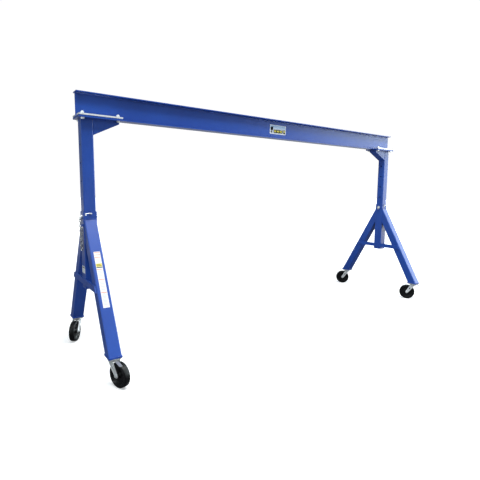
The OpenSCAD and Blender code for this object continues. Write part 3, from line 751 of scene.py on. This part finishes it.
def chain_path(end):
    """Points from the pin's ring down to the bend and up to the sleeve's eye, and the length up to each."""
    low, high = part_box(f"pin_chain_{end}")
    x = (low.x + high.x) / 2
    ring_bar, bend = 2.5 * MM, 2.5 * MM
    eye_inset, eye_rise = 8 * MM, 9 * MM
    start_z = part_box(f"lock_pin_{end}")[0].z + ring_bar + 2 * CHAIN_WIRE
    stop_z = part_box(f"sleeve_fittings_{end}")[0].z + eye_rise
    half = abs(low.y + eye_inset) / 2
    bottom = low.z + bend
    steps = 900
    slack = 4.6        # catenary of two near-vertical strands that meet in a narrow bend
    curve = []
    for k in range(steps + 1):
        u = -1 + 2 * k / steps
        drop = (start_z if u < 0 else stop_z) - bottom
        z = bottom + drop * (math.cosh(slack * u) - 1) / (math.cosh(slack) - 1)
        curve.append(Vector((x, -half * (1 + u), z)))
    lengths = [0.0]
    for a, b in zip(curve, curve[1:]):
        lengths.append(lengths[-1] + (b - a).length)
    return curve, lengths


def point_along(curve, lengths, s):
    """Point of the curve at the length s along it."""
    s = min(max(s, 0.0), lengths[-1])
    low, high = 0, len(lengths) - 1
    while high - low > 1:
        middle = (low + high) // 2
        if lengths[middle] <= s:
            low = middle
        else:
            high = middle
    t = (s - lengths[low]) / max(1e-9, lengths[high] - lengths[low])
    return curve[low].lerp(curve[high], t)


def make_chain(end):
    """Welded chain of oval wire links, from the lock pin's ring down and up to the sleeve's eye."""
    curve, lengths = chain_path(end)
    total = lengths[-1]
    count = int(total / CHAIN_PITCH)
    count -= 1 - count % 2
    pitch = total / count
    straight = pitch / 2 + CHAIN_WIRE - LINK_HALF_WIDTH
    mesh = bmesh.new()
    share = mesh.verts.layers.float.new("share")
    for k in range(count):
        a = point_along(curve, lengths, k * pitch)
        b = point_along(curve, lengths, (k + 1) * pitch)
        along = (b - a).normalized()
        flat = X_AXIS if k % 2 == 0 else along.cross(X_AXIS).normalized()
        centre = (a + b) / 2
        link = (arc(straight, 0, LINK_HALF_WIDTH, -QUARTER_TURN, QUARTER_TURN, 8)
                + arc(-straight, 0, LINK_HALF_WIDTH, QUARTER_TURN, 3 * QUARTER_TURN, 8))
        loop = [centre + along * x + flat * y for x, y in link]
        first = len(mesh.verts)
        sweep(mesh, loop, [CHAIN_WIRE] * len(loop), closed=True, up=along.cross(flat))
        mesh.verts.ensure_lookup_table()
        for vert in mesh.verts[first:]:
            run = k * pitch + pitch / 2 + (vert.co - centre).dot(along)
            vert[share] = min(1.0, max(0.0, 1.0 - run / total))
    data = bpy.data.meshes.new(f"chain_{end}")
    mesh.to_mesh(data)
    mesh.free()
    made = bpy.data.objects.new(f"chain_{end}", data)
    bpy.context.scene.collection.objects.link(made)
    data.materials.append(CHAIN)
    data.polygons.foreach_set("use_smooth", [True] * len(data.polygons))
    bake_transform(made)
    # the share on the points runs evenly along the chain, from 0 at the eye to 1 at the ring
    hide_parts(f"pin_chain_{end}")


# ---------------------------------------------------------------- threads

BOLT_RADIUS, BOLT_PITCH = 8 * MM, 2 * MM
BOLT_INSET, BOLT_Y = 35 * MM, 78 * MM       # from the clamp bars' ends, and from the beam's middle plane


def make_bolt_threads():
    """Thread ridges on the free ends of the clamp bolts."""
    steps_per_turn = 20
    r = BOLT_RADIUS - 0.1 * MM
    for end in ENDS:
        mesh = bmesh.new()
        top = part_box(f"clamp_bolts_{end}")[1].z
        bars_low, bars_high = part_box(f"clamp_bars_{end}")
        nut_top = bars_high.z + 16 * MM
        steps = int((top - nut_top - 1 * MM) / BOLT_PITCH * steps_per_turn)
        radii = [0.55 * MM * min(1.0, (steps - k) / steps_per_turn + 0.2) for k in range(steps)]
        for x in (bars_low.x + BOLT_INSET, bars_high.x - BOLT_INSET):
            for y in (-BOLT_Y, BOLT_Y):
                points = []
                for k in range(steps):
                    dx, dy = circle_point(r, k / steps_per_turn)
                    points.append(Vector((x + dx, y + dy, nut_top + BOLT_PITCH * k / steps_per_turn)))
                sweep(mesh, points, radii, sides=6)
        piece(f"bolt_threads_{end}", mesh, "bridge", ZINC, smooth=WELD_CREASE)


# ---------------------------------------------------------------- labels

def sticker(name, body, origin, along, up, size, bars, marks=()):
    """Thin printed label: a white sheet with plain bars (x0, x1, y0, y1, ink), in shares of the sheet.

    The marks are bars printed over the others.
    """
    inks = [WHITE_INK] + sorted({bar[4] for bar in bars}, key=lambda m: m.name)
    mesh = bmesh.new()
    place = place_on(origin, Vector(along).cross(Vector(up)), along)
    w, h = size
    r = min(w, h) * 0.06
    outline = (arc(w - r, r, r, -QUARTER_TURN, 0, 4) + arc(w - r, h - r, r, 0, QUARTER_TURN, 4)
               + arc(r, h - r, r, QUARTER_TURN, HALF_TURN, 4) + arc(r, r, r, HALF_TURN, 3 * QUARTER_TURN, 4))
    prism(mesh, outline, -0.1 * MM, 0.35 * MM, place)
    for printed, height in ((bars, 0.5 * MM), (marks, 0.65 * MM)):
        for x0, x1, y0, y1, ink in printed:
            box = [(w * x0, h * y0), (w * x1, h * y0), (w * x1, h * y1), (w * x0, h * y1)]
            prism(mesh, box, 0.3 * MM, height, place, slot=inks.index(ink))
    return piece(name, mesh, body, inks)


def text_lines(count, first, step, right, back, cycle):
    """Grey bars in place of lines of small print: right ends step back by back, in a cycle."""
    return [(0.14, right - back * (k % cycle), first + step * k, first + step * k + 0.010, GREY_INK)
            for k in range(count)]


def make_leg_label():
    """On the outer, sloping face of the front left leg."""
    low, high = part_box("leg_front_left")
    lean = math.radians(29.56)
    down = Vector((0, -math.sin(lean), -math.cos(lean)))
    normal = down.cross(X_AXIS).normalized()
    width, length, from_top = 52 * MM, 482 * MM, 300 * MM
    start = Vector(((low.x + high.x) / 2, high.y, high.z))
    rules = [(0.04, 0.96, y, y + 0.010, ORANGE_INK) for y in (0.980, 0.935, 0.890, 0.670, 0.488, 0.257)]
    band = [(0.04, 0.96, 0.722, 0.782, YELLOW_INK), (0.04, 0.96, 0.700, 0.718, DARK_INK)]
    bars = (rules + band + text_lines(9, 0.05, 0.023, 0.80, 0.07, 3)
            + text_lines(6, 0.31, 0.026, 0.84, 0.09, 2) + text_lines(5, 0.53, 0.026, 0.80, 0.05, 3))
    marks = [(0.12, 0.88, 0.736, 0.744, DARK_INK), (0.12, 0.70, 0.756, 0.764, DARK_INK)]
    origin = start + down * (from_top + length) - X_AXIS * 25 * MM + normal * 0.3 * MM
    sticker("label_leg", "base_left", origin, X_AXIS, -down, (width, length), bars, marks)


def make_sleeve_label():
    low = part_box("sleeve_left")[0]
    bars = [(0.12, 0.88 - 0.1 * (k % 2), 0.10 + 0.13 * k, 0.15 + 0.13 * k, GREY_INK) for k in range(4)]
    bars.append((0.12, 0.88, 0.70, 0.88, DARK_INK))
    origin = Vector((low.x - 0.3 * MM, 44 * MM, 790 * MM))
    sticker("label_sleeve", "base_left", origin, -Y_AXIS, Z_AXIS, (88 * MM, 62 * MM), bars)


def make_beam_label():
    low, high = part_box("beam")
    bars = [(0.03, 0.97, 0.60, 0.95, PALE_BLUE_INK), (0.03, 0.97, 0.05, 0.58, GREY_INK),
            (0.05, 0.20, 0.40, 0.78, DARK_INK), (0.07, 0.14, 0.14, 0.34, YELLOW_INK),
            (0.24, 0.80, 0.14, 0.48, DARK_INK), (0.84, 0.95, 0.10, 0.52, DARK_INK)]
    marks = [(0.28, 0.38, 0.24, 0.40, YELLOW_INK), (0.43, 0.56, 0.24, 0.40, YELLOW_INK),
             (0.61, 0.75, 0.24, 0.40, YELLOW_INK), (0.86, 0.93, 0.28, 0.46, YELLOW_INK)]
    web_y = -3.3 * MM
    origin = Vector((-94 * MM, web_y, (low.z + high.z) / 2 - 51 * MM))
    sticker("label_beam", "bridge", origin, X_AXIS, Z_AXIS, (246 * MM, 103 * MM), bars, marks)


# ---------------------------------------------------------------- scene

# strengths of the world: what the camera sees, what every other ray sees, and the walls and panels in it
BACKDROP, ROOM, CEILING = 1.02, 0.25, 0.15
WALL_RIGHT, WALL_LEFT, WALL_FRONT, FRONT_PANEL, SIDE_PANEL = 6.5, 0.35, 0.35, 0.9, 2.0
COOL_WHITE = rgb(0.84, 0.96, 1.0)
OVERHEAD = 1150        # watts


def make_stage():
    """Wide floor that reaches past the picture's horizon."""
    mesh = bmesh.new()
    reach = 60.0
    corners = [(-reach, -reach), (reach, -reach), (reach, reach), (-reach, reach)]
    mesh.faces.new([mesh.verts.new((x, y, 0)) for x, y in corners])
    data = bpy.data.meshes.new("floor")
    mesh.to_mesh(data)
    mesh.free()
    data.materials.append(pale_floor())
    floor = bpy.data.objects.new("floor", data)
    bpy.context.scene.collection.objects.link(floor)


def area_light(name, location, target, size, power):
    data = bpy.data.lights.new(name, "AREA")
    data.shape = "RECTANGLE"
    data.size, data.size_y = size
    data.energy = power
    light = bpy.data.objects.new(name, data)
    bpy.context.scene.collection.objects.link(light)
    light.location = location
    light.rotation_euler = (Vector(target) - Vector(location)).to_track_quat("-Z", "Y").to_euler()


def make_lights():
    """White backdrop for the camera; the object itself sees a dimmer room with bright walls to the right
    and above.
    """
    world = bpy.data.worlds.new("studio")
    bpy.context.scene.world = world
    world.use_nodes = True
    tree = world.node_tree
    sky = tree.nodes["Background"]

    def maths(kind, a, b):
        made = tree.nodes.new("ShaderNodeMath")
        made.operation = kind
        for socket, value in zip(made.inputs, (a, b)):
            if isinstance(value, bpy.types.NodeSocket):
                tree.links.new(value, socket)
            else:
                socket.default_value = value
        return made.outputs[0]

    def wall(direction, start, full, strength):
        """Light that comes in from round a direction, between two cosines."""
        dot = tree.nodes.new("ShaderNodeVectorMath")
        dot.operation = "DOT_PRODUCT"
        tree.links.new(tree.nodes.new("ShaderNodeTexCoord").outputs["Generated"], dot.inputs[0])
        dot.inputs[1].default_value = Vector(direction).normalized()
        ramp = tree.nodes.new("ShaderNodeMapRange")
        ramp.interpolation_type = "SMOOTHSTEP"
        tree.links.new(dot.outputs["Value"], ramp.inputs["Value"])
        ramp.inputs["From Min"].default_value, ramp.inputs["From Max"].default_value = start, full
        ramp.inputs["To Min"].default_value, ramp.inputs["To Max"].default_value = 0.0, strength
        return ramp.outputs[0]

    paths = tree.nodes.new("ShaderNodeLightPath")
    above_floor = wall(Z_AXIS, -0.10, 0.06, 1.0)
    right = maths("MULTIPLY", wall(X_AXIS, 0.58, 0.90, WALL_RIGHT), above_floor)
    front = wall((0.2, -0.7, 0.68), 0.86, 0.97, FRONT_PANEL)
    side = wall((-0.93, -0.1, 0.34), 0.84, 0.95, SIDE_PANEL)
    panels = maths("MULTIPLY", maths("ADD", right, maths("ADD", front, side)), paths.outputs["Is Glossy Ray"])
    soft = maths("ADD", wall((-1, 0, 0.3), 0.0, 1.0, WALL_LEFT), wall((0, -1, 0.1), 0.0, 1.0, WALL_FRONT))
    fill = maths("MULTIPLY", soft, paths.outputs["Is Diffuse Ray"])
    room = maths("ADD", maths("ADD", ROOM, maths("ADD", panels, fill)), wall(Z_AXIS, 0.3, 1.0, CEILING))
    seen = paths.outputs["Is Camera Ray"]
    unseen = maths("SUBTRACT", 1.0, seen)
    strength = maths("ADD", maths("MULTIPLY", seen, BACKDROP), maths("MULTIPLY", unseen, room))
    tree.links.new(strength, sky.inputs["Strength"])
    tint = tree.nodes.new("ShaderNodeMix")
    tint.data_type = "RGBA"
    tint.inputs[6].default_value, tint.inputs[7].default_value = COOL_WHITE, rgb(1, 1, 1)
    tree.links.new(seen, tint.inputs[0])
    tree.links.new(tint.outputs[2], sky.inputs["Color"])
    area_light("overhead", (0.0, -3.0, 9.0), (0.0, -3.0, 0.0), (10.0, 3.6), OVERHEAD)


def make_camera():
    """Standing in front of the left end, looking along the beam and slightly down."""
    yaw, pitch, roll = 0.62531, -0.11365, 0.0094
    ahead = Vector((math.sin(yaw) * math.cos(pitch), math.cos(yaw) * math.cos(pitch), math.sin(pitch)))
    right = Vector((math.cos(yaw), -math.sin(yaw), 0))
    up = right.cross(ahead)
    turned_right = right * math.cos(roll) + up * math.sin(roll)
    turned_up = up * math.cos(roll) - right * math.sin(roll)
    data = bpy.data.cameras.new("camera")
    data.sensor_width = 36.0
    data.lens = 28.89
    data.shift_y = -0.01388
    data.clip_end = 200
    camera = bpy.data.objects.new("camera", data)
    bpy.context.scene.collection.objects.link(camera)
    pose = Matrix((turned_right, turned_up, -ahead)).transposed().to_4x4()
    pose.translation = Vector((-3.01696, -3.48491, 1.5299))
    camera.matrix_world = pose
    bpy.context.scene.camera = camera


dress_cad_nodes()
make_welds()
for end_name in ENDS:
    for row_name in ROWS:
        make_wheel(end_name, row_name)
        make_fork(end_name, row_name)
        make_lever(end_name, row_name)
        make_grease_nipple(end_name, row_name)
make_chain("left")
make_bolt_threads()
make_leg_label()
make_sleeve_label()
make_beam_label()
make_stage()
make_lights()
make_camera()
bpy.context.scene.view_settings.view_transform = "Standard"
